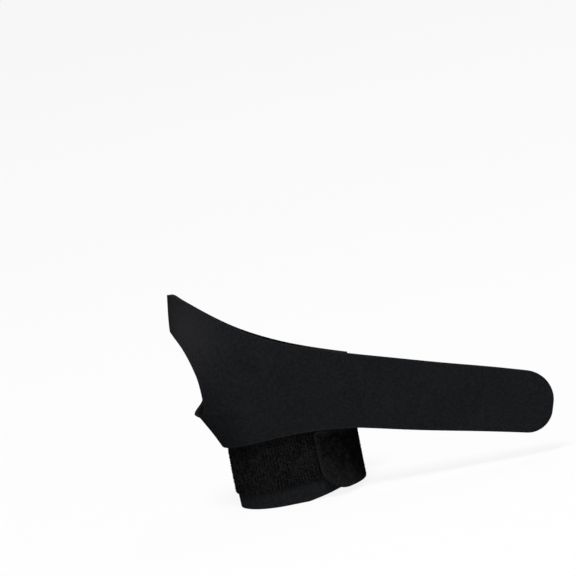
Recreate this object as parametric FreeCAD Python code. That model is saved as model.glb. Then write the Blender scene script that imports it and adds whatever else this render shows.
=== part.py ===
"""Wrist support brace for a left hand, as the separate laminated pieces it is made from.

The origin is the middle of the cuff's lower opening.  +Z runs along the wrist to the fingers,
+X points to the little-finger side, where the strap hangs free, and -Y is the palm side.
"""
import FreeCAD, Part
import math
import os

# Plies of the soft laminate, from the outside in
FACE_PLY = 0.4          # smooth knit outside
FOAM_PLY = 0.8          # rubber foam core
LINING_PLY = 0.4        # knit against the skin
BOND = 0.03             # glue film between two plies

# Pile and hook pieces
CUFF_PILE = 0.9         # loop panel round the cuff
TAB_PILE = 0.7          # loop face of the closure tab
TAB_CORE = 0.7          # foam of the closure tab
TAB_LINING = 0.3        # backing knit of the closure tab
HOOK_PATCH = 0.6        # hook patches under the tab and the strap end

# Clearances
SEAT_GAP = 0.1          # sheet lying on a sheet of the same body
SWING_GAP = 0.35        # between pieces that move on each other
EDGE_GAP = 0.6          # between the tab's upper edge and the hand wrap's lower edge

# Cuff: an oval ring, two half circles joined by straight walls
CUFF_HEIGHT = 38.0
CUFF_RADIUS = 20.5      # outside of the loop panel
THUMB_CENTRE = -7.5     # middle of the half circle on the thumb side
LITTLE_CENTRE = 5.5     # middle of the half circle on the little-finger side
MARGIN = 7.5            # bare margin below the loop panel
SLANT_START = 3.0       # where the lower rim starts to rise under the tab
SLANT_RUN = 14.0
SLANT_RISE = 2.4
SLANT_BACK = 9.0        # depth behind the wrist's middle where the rim is down again

# Closure tab, wrapped round the little-finger side; angles are taken from +X about the cuff
TAB_BOTTOM = 2.5
TAB_TIP = 8.3           # x of its free end
TAB_UPPER = 4.5         # radius of the upper corner
TAB_LOWER = 11.0        # radius of the lower corner
TAB_FOLD = -45.0        # where the free end folds away, degrees
TAB_SEWN = 45.0         # where its other end is sewn down, degrees
HOOK_INSET = 2.2        # from the edge of a hook patch to the edge of its carrier
TAB_HOOK_END = 19.5     # x where the hook patch stops

# Hand wrap: palm panel, fold over the thumb web and panel on the back of the hand
WRAP_LOW = 27.2         # lower edge at the thumb side
WRAP_ARCH = 30.0        # lower edge at the middle of the palm
ARCH_X = -5.0
WEB_TOP = 100.3
WEB_REACH = 9.47        # how far the corner at the web stands out past the cuff
WEB_CORNER = 1.9        # its rounding
WEB_FALL = 42.0         # fall of the upper edge below the corner, degrees
WEB_HANDLE = 32.0       # how far the upper edge keeps that fall
STRAP_HANDLE = 38.0     # how far it keeps the fall of the strap
BACK_DROP = 10.0        # how far the upper edge tips down towards the back of the hand, degrees
CUFF_FLARE = 5.67       # how far the thumb side stands out past the cuff, just above it
PALM_FLARE = 12.67      # beside the palm
KNUCKLE_FLARE = 13.07   # below the knuckles
WEB_FLARE = 10.37       # at the web

# Strap, measured along its centre line from the first fold line
STRAP_ROOT_X = 34.5
STRAP_ROOT_Z = 42.4
STRAP_FALL = 15.3       # degrees below level
STRAP_LENGTH = 81.3
STRAP_FOLD = 48.0       # second fold line
STRAP_WIDTH = 31.9      # at the first fold line
STRAP_TAPER = 3.44      # between its two edges, degrees
TIP_UPPER = 13.0        # corner radii of the free end
TIP_LOWER = 10.5
STRAP_HOOK_LENGTH = 22.0

# Thumb hole: its rim in front view, from bottom to top, x from the thumb side of the cuff
THUMB_RIM = [(-12.57, 42.0), (-7.97, 47.5), (-5.47, 56.5), (-8.47, 72.0), (-13.57, 84.5)]

FAR = 70.0              # past the outside of every piece

# Worked out
LAMINATE = FACE_PLY + FOAM_PLY + LINING_PLY + 2 * BOND
WRAP_MID = CUFF_RADIUS + SEAT_GAP + LAMINATE / 2
WRAP_SIDE = THUMB_CENTRE - WRAP_MID
TAB_INNER = CUFF_RADIUS + SWING_GAP + HOOK_PATCH + BOND
TAB_THICK = TAB_LINING + TAB_CORE + TAB_PILE + 2 * BOND
TAB_MID = TAB_INNER + TAB_THICK / 2
TAB_TOP = WRAP_LOW - EDGE_GAP
FALL = math.radians(STRAP_FALL)
HALF_TAPER = math.radians(STRAP_TAPER / 2)


def at(x, z, y=0.0):
    """Point from its place in front view, and its depth."""
    return FreeCAD.Vector(x, y, z)


def line(start, end):
    """Straight edge."""
    return Part.makeLine(start, end)


def arc(start, through, end):
    """Round edge through three points."""
    return Part.Arc(start, through, end).toShape()


def prism(edges, front=-FAR, back=FAR, drop=0.0):
    """Solid with a front-view outline, between two depths, its back lower by a drop."""
    face = Part.Face(Part.Wire(Part.__sortEdges__(edges)))
    face.translate(FreeCAD.Vector(0, front, 0))
    return face.extrude(FreeCAD.Vector(0, back - front, -drop))


def polygon(points):
    """Straight edges round a list of points."""
    return [line(a, b) for a, b in zip(points, points[1:] + points[:1])]


def stack(start, *plies):
    """Bounds of plies laid on each other from a starting depth, with glue films between."""
    bounds = []
    for ply in plies:
        bounds.append((start, start + ply))
        start += ply + BOND
    return bounds


# ---------------------------------------------------------------- cuff

def oval(radius):
    """Closed wire round the wrist at height zero."""
    front_left = FreeCAD.Vector(THUMB_CENTRE, -radius, 0)
    front_right = FreeCAD.Vector(LITTLE_CENTRE, -radius, 0)
    back_right = FreeCAD.Vector(LITTLE_CENTRE, radius, 0)
    back_left = FreeCAD.Vector(THUMB_CENTRE, radius, 0)
    little_side = FreeCAD.Vector(LITTLE_CENTRE + radius, 0, 0)
    thumb_side = FreeCAD.Vector(THUMB_CENTRE - radius, 0, 0)
    return Part.Wire([line(front_left, front_right), arc(front_right, little_side, back_right),
                      line(back_right, back_left), arc(back_left, thumb_side, front_left)])


def ring(inner, outer, bottom, top):
    """Oval tube."""
    up = FreeCAD.Vector(0, 0, top - bottom)
    tube = Part.Face(oval(outer)).extrude(up).cut(Part.Face(oval(inner)).extrude(up))
    tube.translate(FreeCAD.Vector(0, 0, bottom))
    return tube


def rim_slant():
    """What the slanted end of the cuff strip leaves open below the tab."""
    high = SLANT_START + SLANT_RUN
    front = prism(polygon([at(SLANT_START, 0), at(high, SLANT_RISE), at(FAR, SLANT_RISE),
                           at(FAR, -SLANT_RISE), at(SLANT_START, -SLANT_RISE)]), -FAR, 0)
    ramp = Part.Face(Part.Wire(polygon([at(high, SLANT_RISE, 0), at(high, 0, SLANT_BACK),
                                        at(high, -SLANT_RISE, SLANT_BACK), at(high, -SLANT_RISE, 0)])))
    return front.fuse(ramp.extrude(FreeCAD.Vector(FAR, 0, 0)))


def cuff():
    """Lining, foam and face of the cuff, and the loop panel round it."""
    base = CUFF_RADIUS - CUFF_PILE - BOND - LAMINATE
    lining, foam, face, pile = stack(base, LINING_PLY, FOAM_PLY, FACE_PLY, CUFF_PILE)
    open_below = rim_slant()
    return {
        "cuff_lining": ring(*lining, 0, CUFF_HEIGHT).cut(open_below),
        "cuff_foam": ring(*foam, 0, CUFF_HEIGHT).cut(open_below),
        "cuff_face": ring(*face, 0, CUFF_HEIGHT).cut(open_below),
        "cuff_loop_panel": ring(*pile, MARGIN, CUFF_HEIGHT),
    }


# ---------------------------------------------------------------- closure tab

def tab_outline(inset, right):
    """Front-view outline of the tab, rounded at its free end."""
    low, high = TAB_BOTTOM + inset, TAB_TOP - inset
    left, lower, upper = TAB_TIP + inset, TAB_LOWER - inset, TAB_UPPER - inset
    cut = 1 - math.sqrt(0.5)
    return [line(at(right, low), at(left + lower, low)),
            arc(at(left + lower, low), at(left + lower * cut, low + lower * cut), at(left, low + lower)),
            line(at(left, low + lower), at(left, high - upper)),
            arc(at(left, high - upper), at(left + upper * cut, high - upper * cut), at(left + upper, high)),
            line(at(left + upper, high), at(right, high)),
            line(at(right, high), at(right, low))]


def round_cuff(angle, radius):
    """Point at an angle and radius about the little-finger side of the cuff, at the tab's foot."""
    turn = math.radians(angle)
    return FreeCAD.Vector(LITTLE_CENTRE + radius * math.cos(turn), radius * math.sin(turn), TAB_BOTTOM)


def tab_shell(centre, inner, outer):
    """Upright round shell as high as the tab."""
    height = TAB_TOP - TAB_BOTTOM
    return Part.makeCylinder(outer, height, centre).cut(Part.makeCylinder(inner, height, centre))


def beyond(foot, heading, distance):
    """Everything further than a distance from an upright line, on the side of a heading."""
    block = Part.makeBox(2 * FAR, 4 * FAR, 2 * FAR, foot + FreeCAD.Vector(distance, -2 * FAR, -FAR))
    block.rotate(foot, FreeCAD.Vector(0, 0, 1), heading)
    return block


def tab():
    """Lining, foam and pile face of the tab's sewn length and free end, and the hook patch."""
    plies = stack(TAB_INNER, TAB_LINING, TAB_CORE, TAB_PILE)
    names = ("lining", "foam", "face")
    fold = round_cuff(TAB_FOLD, TAB_MID)
    away = TAB_FOLD - 90
    round_end = Part.makeCylinder(TAB_THICK / 2, TAB_TOP - TAB_BOTTOM, fold)
    free = prism(tab_outline(0, FAR), -FAR, 0).common(beyond(fold, away, 0)).fuse(round_end)
    middle = round_cuff(0, 0)
    draw_in = TAB_INNER - CUFF_RADIUS - SEAT_GAP
    drawn_middle = round_cuff(TAB_FOLD, draw_in)
    sewn = beyond(fold, away + 180, TAB_THICK / 2 + SWING_GAP).common(beyond(middle, TAB_SEWN - 90, 0))
    pieces = {}
    for name, (inner, outer) in zip(names, plies):
        pieces["tab_end_" + name] = tab_shell(middle, inner, outer).common(free)
        pieces["tab_root_" + name] = tab_shell(drawn_middle, inner - draw_in, outer - draw_in).common(sewn)
    patch = prism(tab_outline(HOOK_INSET, TAB_HOOK_END), -FAR, 0)
    pieces["tab_hook_patch"] = tab_shell(middle, CUFF_RADIUS + SWING_GAP, TAB_INNER - BOND).common(patch)
    return pieces


# ---------------------------------------------------------------- outline of wrap and strap

def along(run, side):
    """Point of the strap from its run along the centre line and its distance above it."""
    return at(STRAP_ROOT_X + run * math.cos(FALL) + side * math.sin(FALL),
              STRAP_ROOT_Z - run * math.sin(FALL) + side * math.cos(FALL))


def half_width(run):
    """Half the strap's width at a run."""
    return STRAP_WIDTH / 2 - run * math.tan(HALF_TAPER)


def strap_end_edges(inset, start):
    """Edges of the strap's free end from its lower edge at a run, round the tip, and back."""
    reach = STRAP_LENGTH - inset
    edges = []
    ends = []
    for radius, sign in ((TIP_UPPER - inset, 1), (TIP_LOWER - inset, -1)):
        side = half_width(reach) - inset
        root = along(start, sign * (half_width(start) - inset))
        before = along(reach - radius, sign * (half_width(reach - radius) - inset))
        after = along(reach, sign * (side - radius))
        slack = half_width(reach - radius) - half_width(reach)
        bend = radius * math.sqrt(0.5)
        through = along(reach - radius + bend, sign * (side - radius + bend + slack / 3))
        edges += [line(root, before), arc(before, through, after)]
        ends.append(after)
    return edges + [line(ends[0], ends[1])]


def upper_edge():
    """Front-view upper edge of the hand wrap, from the thumb side to the strap."""
    strap_top = along(0, half_width(0))
    corner = at(WRAP_SIDE - WEB_REACH, WEB_TOP)
    fall = math.radians(WEB_FALL)
    after = corner + at(WEB_CORNER * math.cos(fall), -WEB_CORNER * math.sin(fall))
    before = corner - at(WEB_CORNER, 0)
    middle = (before + after + corner * 2) * 0.25
    top_fall = FALL + HALF_TAPER
    upper = Part.BezierCurve()
    upper.setPoles([after,
                    after + at(WEB_HANDLE * math.cos(fall), -WEB_HANDLE * math.sin(fall)),
                    strap_top - at(STRAP_HANDLE * math.cos(top_fall), -STRAP_HANDLE * math.sin(top_fall)),
                    strap_top])
    return [line(at(-FAR, WEB_TOP), before), arc(before, middle, after), upper.toShape()]


def outline():
    """Front-view outline that the hand wrap and the whole strap are cut to."""
    strap_bottom = along(0, -half_width(0))
    thumb_low = at(WRAP_SIDE, WRAP_LOW)
    return strap_end_edges(0, 0) + upper_edge() + [
        arc(strap_bottom, at(ARCH_X, WRAP_ARCH), thumb_low),
        line(thumb_low, at(-FAR, WRAP_LOW)),
        line(at(-FAR, WRAP_LOW), at(-FAR, WEB_TOP)),
    ]


def above_back():
    """Everything above the upper edge of the back panel, which tips down towards the back."""
    strap_top = along(0, half_width(0))
    high_left, high_right = at(-FAR, 3 * FAR), at(strap_top.x, 3 * FAR)
    edges = upper_edge() + [line(strap_top, high_right), line(high_right, high_left),
                            line(high_left, at(-FAR, WEB_TOP))]
    return prism(edges, -WRAP_MID, FAR, (WRAP_MID + FAR) * math.tan(math.radians(BACK_DROP)))


def zone_outline(start, end):
    """Front-view outline of everything between two runs of the strap."""
    return polygon([along(start, -FAR), along(end, -FAR), along(end, FAR), along(start, FAR)])


# ---------------------------------------------------------------- hand wrap

class Station:
    """The hand wrap's section at one height, as the middle of its laminate runs."""

    def __init__(self, height, thumb_side, fold, lean, crest, crest_radius, end):
        """Fold and crest radii, lean of the back panel in degrees, and x of sides and crest."""
        self.height = height
        self.fold = fold
        self.fold_centre = FreeCAD.Vector(thumb_side + fold, fold - WRAP_MID, height)
        self.lean = math.radians(lean)
        rise = FreeCAD.Vector(math.cos(self.lean), math.sin(self.lean), 0)
        leave = self.fold_centre + self.outwards() * fold
        crest_start = leave + rise * ((crest - leave.x) / rise.x)
        self.crest_radius = crest_radius
        self.crest_centre = crest_start - self.outwards() * crest_radius
        self.turn = math.asin((end - self.crest_centre.x) / crest_radius)

    def outwards(self):
        """Direction out of the back panel."""
        return FreeCAD.Vector(-math.sin(self.lean), math.cos(self.lean), 0)

    def run(self, offset):
        """Four edges of the section, moved outwards by an offset."""
        fold, crest = self.fold + offset, self.crest_radius + offset
        front = -FreeCAD.Vector(0, WRAP_MID + offset, 0)
        front_end = FreeCAD.Vector(FAR, front.y, self.height)
        front_start = FreeCAD.Vector(self.fold_centre.x, front.y, self.height)
        side = self.fold_centre - FreeCAD.Vector(fold, 0, 0)
        leave = self.fold_centre + self.outwards() * fold
        crest_start = self.crest_centre + self.outwards() * crest
        middle = (self.turn - self.lean) / 2
        on_crest = self.crest_centre + FreeCAD.Vector(math.sin(middle), math.cos(middle), 0) * crest
        end = self.crest_centre + FreeCAD.Vector(math.sin(self.turn), math.cos(self.turn), 0) * crest
        return [(front_end, None, front_start), (front_start, side, leave),
                (leave, None, crest_start), (crest_start, on_crest, end)]

    def band(self, inner, outer):
        """Closed wire of one ply at this height."""
        out, back = self.run(outer), self.run(inner)[::-1]
        spans = out + [(out[-1][2], None, back[0][2])]
        spans += [(end, through, start) for start, through, end in back]
        spans.append((back[-1][0], None, out[0][0]))
        return Part.Wire([arc(*span) if span[1] else line(span[0], span[2]) for span in spans])


def stations():
    """Sections from below the lower edge to above the web."""
    clear_of_cuff = CUFF_HEIGHT + 1.5
    wrist_end = LITTLE_CENTRE + 0.94 * WRAP_MID
    return [
        Station(WRAP_LOW - 5, WRAP_SIDE + 2, WRAP_MID, 0, LITTLE_CENTRE, WRAP_MID, wrist_end),
        Station(clear_of_cuff, WRAP_SIDE - CUFF_FLARE, WRAP_MID, 0, LITTLE_CENTRE, WRAP_MID, wrist_end),
        Station(60.0, WRAP_SIDE - PALM_FLARE, 16.5, 10, 5.0, 30.0, 31.0),
        Station(80.0, WRAP_SIDE - KNUCKLE_FLARE, 9.5, 20, 5.0, 36.0, 31.0),
        Station(WEB_TOP + 3, WRAP_SIDE - WEB_FLARE, 7.0, 24, 5.0, 40.0, 31.0),
    ]


def wrap():
    """Lining, foam and face of the hand wrap."""
    rim = Part.BSplineCurve()
    points = [at(WRAP_SIDE + x, z) for x, z in THUMB_RIM]
    rim.interpolate(points)
    low, high = points[0], points[-1]
    hole = prism([rim.toShape(), line(high, at(-FAR, high.z)), line(at(-FAR, high.z), at(-FAR, low.z)),
                  line(at(-FAR, low.z), low)])
    strap_side = prism(zone_outline(-LAMINATE / 2 - SWING_GAP, 2 * FAR), -FAR, 0)
    plies = stack(-LAMINATE / 2, LINING_PLY, FOAM_PLY, FACE_PLY)
    pieces = {}
    for name, ply in zip(("wrap_lining", "wrap_foam", "wrap_face"), plies):
        shell = Part.makeLoft([station.band(*ply) for station in stations()], True, True)
        pieces[name] = shell.common(prism(outline())).cut(above_back()).cut(hole).cut(strap_side)
    return pieces


# ---------------------------------------------------------------- strap

def strap():
    """Plies of the strap's two lengths, and the hook patch at its end."""
    whole = outline()
    mid = -WRAP_MID
    plies = stack(-LAMINATE / 2, FACE_PLY, FOAM_PLY, LINING_PLY)
    lengths = {"strap_root": (0, STRAP_FOLD - LAMINATE / 2 - SWING_GAP),
               "strap_end": (STRAP_FOLD, STRAP_LENGTH + 1)}
    pieces = {}
    for length, (start, end) in lengths.items():
        foot = along(start, -FAR)
        foot.y = mid
        axis = along(start, FAR) - along(start, -FAR)
        round_end = Part.makeCylinder(LAMINATE / 2, 2 * FAR, foot, axis)
        body = prism(zone_outline(start, end)).fuse(round_end)
        for ply, (front, back) in zip(("face", "foam", "lining"), plies):
            slab = prism(whole, mid + front, mid + back)
            pieces[length + "_" + ply] = slab.common(body)
    start = STRAP_LENGTH - HOOK_INSET - STRAP_HOOK_LENGTH
    side = half_width(start) - HOOK_INSET
    edges = strap_end_edges(HOOK_INSET, start) + [line(along(start, side), along(start, -side))]
    back = mid + LAMINATE / 2 + BOND
    pieces["strap_hook_patch"] = prism(edges, back, back + HOOK_PATCH)
    return pieces


def main():
    """Build every piece and write it to its own file."""
    os.makedirs("parts", exist_ok=True)
    for build in (cuff, tab, wrap, strap):
        for name, shape in build().items():
            shape = shape.removeSplitter()
            box = shape.BoundBox
            print(name, len(shape.Solids), shape.isValid(), round(shape.Volume, 1),
                  [round(v, 1) for v in (box.XMin, box.YMin, box.ZMin, box.XMax, box.YMax, box.ZMax)])
            shape.exportStep("parts/" + name + ".step")


main()
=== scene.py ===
"""Wrist support brace for a left hand, dressed as soft laminate, loop pile and hook tape.

Every soft piece is cut as a flat pattern in millimetres, given its thickness and laid on a
form: the hand, the cuff's oval or the closure tab's curve.
"""

import logging
import math
from dataclasses import dataclass, field, replace
from enum import Enum
from typing import Any, Callable, Optional, Sequence, Union

import bmesh
import bpy
import numpy as np
from mathutils import Matrix, Vector


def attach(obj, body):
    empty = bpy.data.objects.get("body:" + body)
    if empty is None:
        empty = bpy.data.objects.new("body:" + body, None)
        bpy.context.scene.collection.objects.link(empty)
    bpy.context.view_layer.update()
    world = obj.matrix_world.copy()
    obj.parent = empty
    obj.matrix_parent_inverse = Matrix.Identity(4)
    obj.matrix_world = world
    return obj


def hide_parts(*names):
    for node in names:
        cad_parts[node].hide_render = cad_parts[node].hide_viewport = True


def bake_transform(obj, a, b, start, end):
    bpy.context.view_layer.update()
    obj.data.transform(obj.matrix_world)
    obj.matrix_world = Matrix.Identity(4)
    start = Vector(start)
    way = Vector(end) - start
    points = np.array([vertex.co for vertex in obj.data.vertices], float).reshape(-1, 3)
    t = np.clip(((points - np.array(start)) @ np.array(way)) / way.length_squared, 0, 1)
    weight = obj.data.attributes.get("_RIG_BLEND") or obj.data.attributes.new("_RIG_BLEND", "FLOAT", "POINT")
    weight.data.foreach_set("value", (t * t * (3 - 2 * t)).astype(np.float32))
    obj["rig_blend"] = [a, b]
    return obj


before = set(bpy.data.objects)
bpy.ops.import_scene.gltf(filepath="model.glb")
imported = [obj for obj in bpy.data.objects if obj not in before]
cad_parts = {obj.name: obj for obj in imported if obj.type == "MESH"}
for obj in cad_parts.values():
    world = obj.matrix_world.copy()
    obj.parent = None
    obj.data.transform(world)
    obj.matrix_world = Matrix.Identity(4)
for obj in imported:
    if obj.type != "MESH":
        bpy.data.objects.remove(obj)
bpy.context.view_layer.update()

MM = 0.001
LOG = logging.getLogger("brace")
Array = np.ndarray
Colour = tuple[float, float, float]
Point = tuple[float, float, float]
Pair = tuple[float, float]

# Measures in millimetres that several pieces share
PALM_MID = 21.43        # from the wrist's middle to the middle of the palm's laminate
CUFF_MID = 18.74        # radius of the middle of the cuff's laminate
BAND_OUTER = 20.5       # outside radius of the loop band
THUMB_CENTRE = -7.5     # x of the cuff's half circle on the thumb side
LITTLE_CENTRE = 5.5     # x of the one on the little-finger side
SEAM_RUN = 24.0         # run along the strap where the hand wrap's pattern ends


class Held(Enum):
    """How a sheet of the brace is held."""

    FOLDED = "folded"
    LAID = "laid"
    STRETCHED = "stretched"


class Slot(Enum):
    """Material slots of the record."""

    FACE = "face_knit"
    LINING = "lining_knit"
    FOAM = "foam_core"
    LOOP = "loop_pile"
    TAB = "tab_pile"
    HOOK = "hook_plastic"


# ---------------------------------------------------------------- shader graph

class Value:
    """A number in a shader, which adds Math nodes as it is reckoned with."""

    def __init__(self, graph: "Graph", socket: bpy.types.NodeSocket) -> None:
        """Wrap a socket of a graph."""
        self.graph = graph
        self.socket = socket

    def math(self, operation: str, *others: Any) -> "Value":
        """Result of a Math node on this value.

        Args:
            operation: Math node operation.
            others: The node's other operands.

        Returns:
            The node's result.
        """
        inputs = dict(enumerate((self, *others)))
        node = self.graph.node("ShaderNodeMath", {"operation": operation}, inputs)
        return Value(self.graph, node.outputs[0])

    def __add__(self, other: Any) -> "Value":
        """Sum."""
        return self.math("ADD", other)

    __radd__ = __add__

    def __mul__(self, other: Any) -> "Value":
        """Product."""
        return self.math("MULTIPLY", other)

    def __sub__(self, other: Any) -> "Value":
        """Difference."""
        return self.math("SUBTRACT", other)

    def __rsub__(self, other: Any) -> "Value":
        """Difference the other way round."""
        return self * -1.0 + other

    def __truediv__(self, other: float) -> "Value":
        """Share of a plain number."""
        return self.math("DIVIDE", other)

    def __pow__(self, power: float) -> "Value":
        """Power."""
        return self.math("POWER", power)

    def __abs__(self) -> "Value":
        """Size without sign."""
        return self.math("ABSOLUTE")

    def wave(self) -> "Value":
        """Cosine wave from 0 to 1, one period to a unit."""
        return (self * (2 * math.pi)).math("COSINE") * 0.5 + 0.5

    def part(self) -> "Value":
        """What is left after whole units."""
        return self.math("FRACT")


class Graph:
    """Node tree of one material."""

    def __init__(self, name: str) -> None:
        """Start a material with only its output."""
        self.material = bpy.data.materials.new(name)
        self.material.use_nodes = True
        self.tree = self.material.node_tree
        self.tree.nodes.clear()
        self.out = self.node("ShaderNodeOutputMaterial")

    def node(self, kind: str, settings: Optional[dict[str, Any]] = None,
             inputs: Optional[dict[Union[str, int], Any]] = None) -> bpy.types.Node:
        """Add a node.

        Args:
            kind: Node type.
            settings: Attributes set first; "stops" are a ramp's positions and greys.
            inputs: Values or links by socket name or number.

        Returns:
            The node.
        """
        node = self.tree.nodes.new(kind)
        for key, item in (settings or {}).items():
            if key == "stops":
                while len(node.color_ramp.elements) < len(item):
                    node.color_ramp.elements.new(0.5)
                for element, (position, grey) in zip(node.color_ramp.elements, item):
                    element.position = position
                    element.color = (grey, grey, grey, 1)
            else:
                setattr(node, key, item)
        for key, item in (inputs or {}).items():
            if isinstance(item, Value):
                self.tree.links.new(item.socket, node.inputs[key])
            elif isinstance(item, bpy.types.NodeSocket):
                self.tree.links.new(item, node.inputs[key])
            else:
                node.inputs[key].default_value = item
        return node

    def place(self) -> bpy.types.NodeSocket:
        """Object coordinates."""
        return self.node("ShaderNodeTexCoord").outputs["Object"]

    def weave(self) -> tuple[Value, Value]:
        """Pattern coordinates in millimetres, from the piece's UV map."""
        uv = self.node("ShaderNodeTexCoord").outputs["UV"]
        parts = self.node("ShaderNodeSeparateXYZ", inputs={0: uv})
        return Value(self, parts.outputs[0]), Value(self, parts.outputs[1])

    def rim(self) -> Value:
        """1 on a cut edge of a piece, 0 a little way in."""
        return Value(self, self.node("ShaderNodeAttribute", {"attribute_name": "rim"}).outputs["Fac"])

    def noise(self, scale: float, detail: float = 3.0, rough: float = 0.55) -> Value:
        """Even noise on Object coordinates.

        Args:
            scale: Features to a metre.
            detail: Octaves.
            rough: Share of the finer octaves.

        Returns:
            Value about 0.5.
        """
        node = self.node("ShaderNodeTexNoise", {"noise_dimensions": "3D"},
                         {"Vector": self.place(), "Scale": scale, "Detail": detail, "Roughness": rough})
        return Value(self, node.outputs["Fac"])

    def cells(self, scale: float) -> Value:
        """Distance to the nearest cell centre on Object coordinates."""
        node = self.node("ShaderNodeTexVoronoi", {"feature": "F1"}, {"Vector": self.place(), "Scale": scale})
        return Value(self, node.outputs["Distance"])

    def tint(self, low: Any, high: Colour, share: Value) -> bpy.types.NodeSocket:
        """Colour between two colours.

        Args:
            low: Colour or colour socket at share 0.
            high: Colour at share 1.
            share: Where between them.

        Returns:
            Colour socket.
        """
        start = low if isinstance(low, bpy.types.NodeSocket) else (*low, 1)
        return self.node("ShaderNodeMix", {"data_type": "RGBA", "clamp_factor": True},
                         {0: share, 6: start, 7: (*high, 1)}).outputs[2]

    def relief(self, height: Value, depth: float, strength: float = 1.0,
               under: Optional[bpy.types.NodeSocket] = None) -> bpy.types.NodeSocket:
        """Normal of a surface with a relief.

        Args:
            height: Relief from 0 to 1.
            depth: Its depth in millimetres.
            strength: Share of it that shows.
            under: Normal that it lies on.

        Returns:
            Normal socket.
        """
        inputs = {"Height": height, "Distance": depth * MM, "Strength": strength}
        if under is not None:
            inputs["Normal"] = under
        return self.node("ShaderNodeBump", inputs=inputs).outputs[0]

    def cover(self, colour: Any, rough: Any, normal: bpy.types.NodeSocket,
              specular: float) -> bpy.types.Material:
        """Finish the material as a plain surface.

        Args:
            colour: Base colour socket.
            rough: Roughness.
            normal: Normal socket.
            specular: Specular level.

        Returns:
            The material.
        """
        surface = self.node("ShaderNodeBsdfPrincipled", inputs={
            "Base Color": colour, "Roughness": rough, "Normal": normal, "Specular IOR Level": specular})
        self.tree.links.new(surface.outputs[0], self.out.inputs[0])
        return self.material


# ---------------------------------------------------------------- finishes
# Every *_scale is in features to a metre; wale, course, rib, rung and cell are in millimetres.

@dataclass(frozen=True)
class FaceKnit:
    """Smooth fine knit bonded to the outside of the foam."""

    dark: Colour = (0.0049, 0.0053, 0.0061)
    light: Colour = (0.0141, 0.0148, 0.0165)
    worn: Colour = (0.017, 0.0175, 0.019)
    # Lighter colour painted round the thumb web's corner as a painted highlight, where light falls on the fold
    painted_web_highlight: Colour = (0.0205, 0.0196, 0.0208)
    crook: Point = (-0.0415, -0.0200, 0.0830)
    crook_fall: float = 38.0
    wale: float = 0.46
    course: float = 0.36
    drift_scale: float = 70.0
    fuzz_scale: float = 5200.0
    patch_scale: float = 45.0
    streak_scale: float = 900.0
    swell_scale: float = 260.0
    specular: float = 0.0

    def make(self) -> bpy.types.Material:
        """Build the material."""
        graph = Graph("face knit")
        across, up = graph.weave()
        drift = graph.noise(self.drift_scale, 2.0) * 0.5
        place = abs((across / self.wale + drift).part() - 0.5)
        stitch = (up / self.course + place * 1.1).wave()
        column = (1.0 - place * 2.0) ** 0.5
        yarn = stitch * column * 0.6 + column * 0.4
        fuzz = graph.noise(self.fuzz_scale, 2.0)
        patch = graph.noise(self.patch_scale, 4.0, 0.6)
        streak = graph.noise(self.streak_scale, 4.0, 0.8)
        shade = yarn * 0.3 + fuzz * 0.3 + patch * 0.35 + (streak - 0.5) * 2.2 - 0.02
        colour = graph.tint(self.dark, self.light, shade)
        colour = graph.tint(colour, self.worn, graph.rim() * (0.25 + streak * 0.6))
        # Painted highlight: the knit is lightened round the thumb web's corner at crook and fades out over
        # about 26 mm
        away = graph.node("ShaderNodeVectorMath", {"operation": "DISTANCE"},
                          {0: graph.place(), 1: self.crook})
        web_highlight_share = (1.0 - Value(graph, away.outputs["Value"]) * self.crook_fall).math("MAXIMUM", 0.0)
        colour = graph.tint(colour, self.painted_web_highlight, web_highlight_share * (0.3 + streak * 0.7))
        rough = 0.86 + patch * 0.1 - yarn * 0.08
        swell = graph.relief(graph.noise(self.swell_scale, 3.0, 0.6), 0.16, 0.55)
        normal = graph.relief(yarn * 0.75 + fuzz * 0.5, 0.09, 0.7, swell)
        return graph.cover(colour, rough, normal, self.specular)


@dataclass(frozen=True)
class LiningKnit:
    """Soft tricot against the skin."""

    dark: Colour = (0.0068, 0.0070, 0.0077)
    light: Colour = (0.0125, 0.0128, 0.0138)
    wale: float = 0.7
    course: float = 0.55
    fuzz_scale: float = 3800.0
    patch_scale: float = 60.0
    specular: float = 0.02

    def make(self) -> bpy.types.Material:
        """Build the material."""
        graph = Graph("lining knit")
        across, up = graph.weave()
        row = (up / self.course).wave()
        zig = ((across / self.wale) + row * 0.35).wave()
        fuzz = graph.noise(self.fuzz_scale, 3.0, 0.65)
        patch = graph.noise(self.patch_scale, 3.0)
        yarn = zig * 0.6 + row * 0.4
        base = graph.tint(self.dark, self.light, yarn * 0.35 + fuzz * 0.35 + patch * 0.5 - 0.15)
        normal = graph.relief(yarn * 0.7 + fuzz * 0.6, 0.1, 0.7)
        return graph.cover(base, 0.9 + fuzz * 0.08, normal, self.specular)


@dataclass(frozen=True)
class FoamEdge:
    """Cut edge of closed-cell rubber foam."""

    dark: Colour = (0.0040, 0.0040, 0.0043)
    light: Colour = (0.0105, 0.0105, 0.0112)
    cell: float = 0.28
    patch_scale: float = 160.0
    specular: float = 0.2

    def make(self) -> bpy.types.Material:
        """Build the material."""
        graph = Graph("foam core")
        pore = graph.cells(1000.0 / self.cell)
        patch = graph.noise(self.patch_scale, 3.0)
        base = graph.tint(self.dark, self.light, pore * 0.9 + patch * 0.4 - 0.15)
        normal = graph.relief(pore, 0.12, 0.8)
        return graph.cover(base, 0.78 + patch * 0.15, normal, self.specular)


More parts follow.
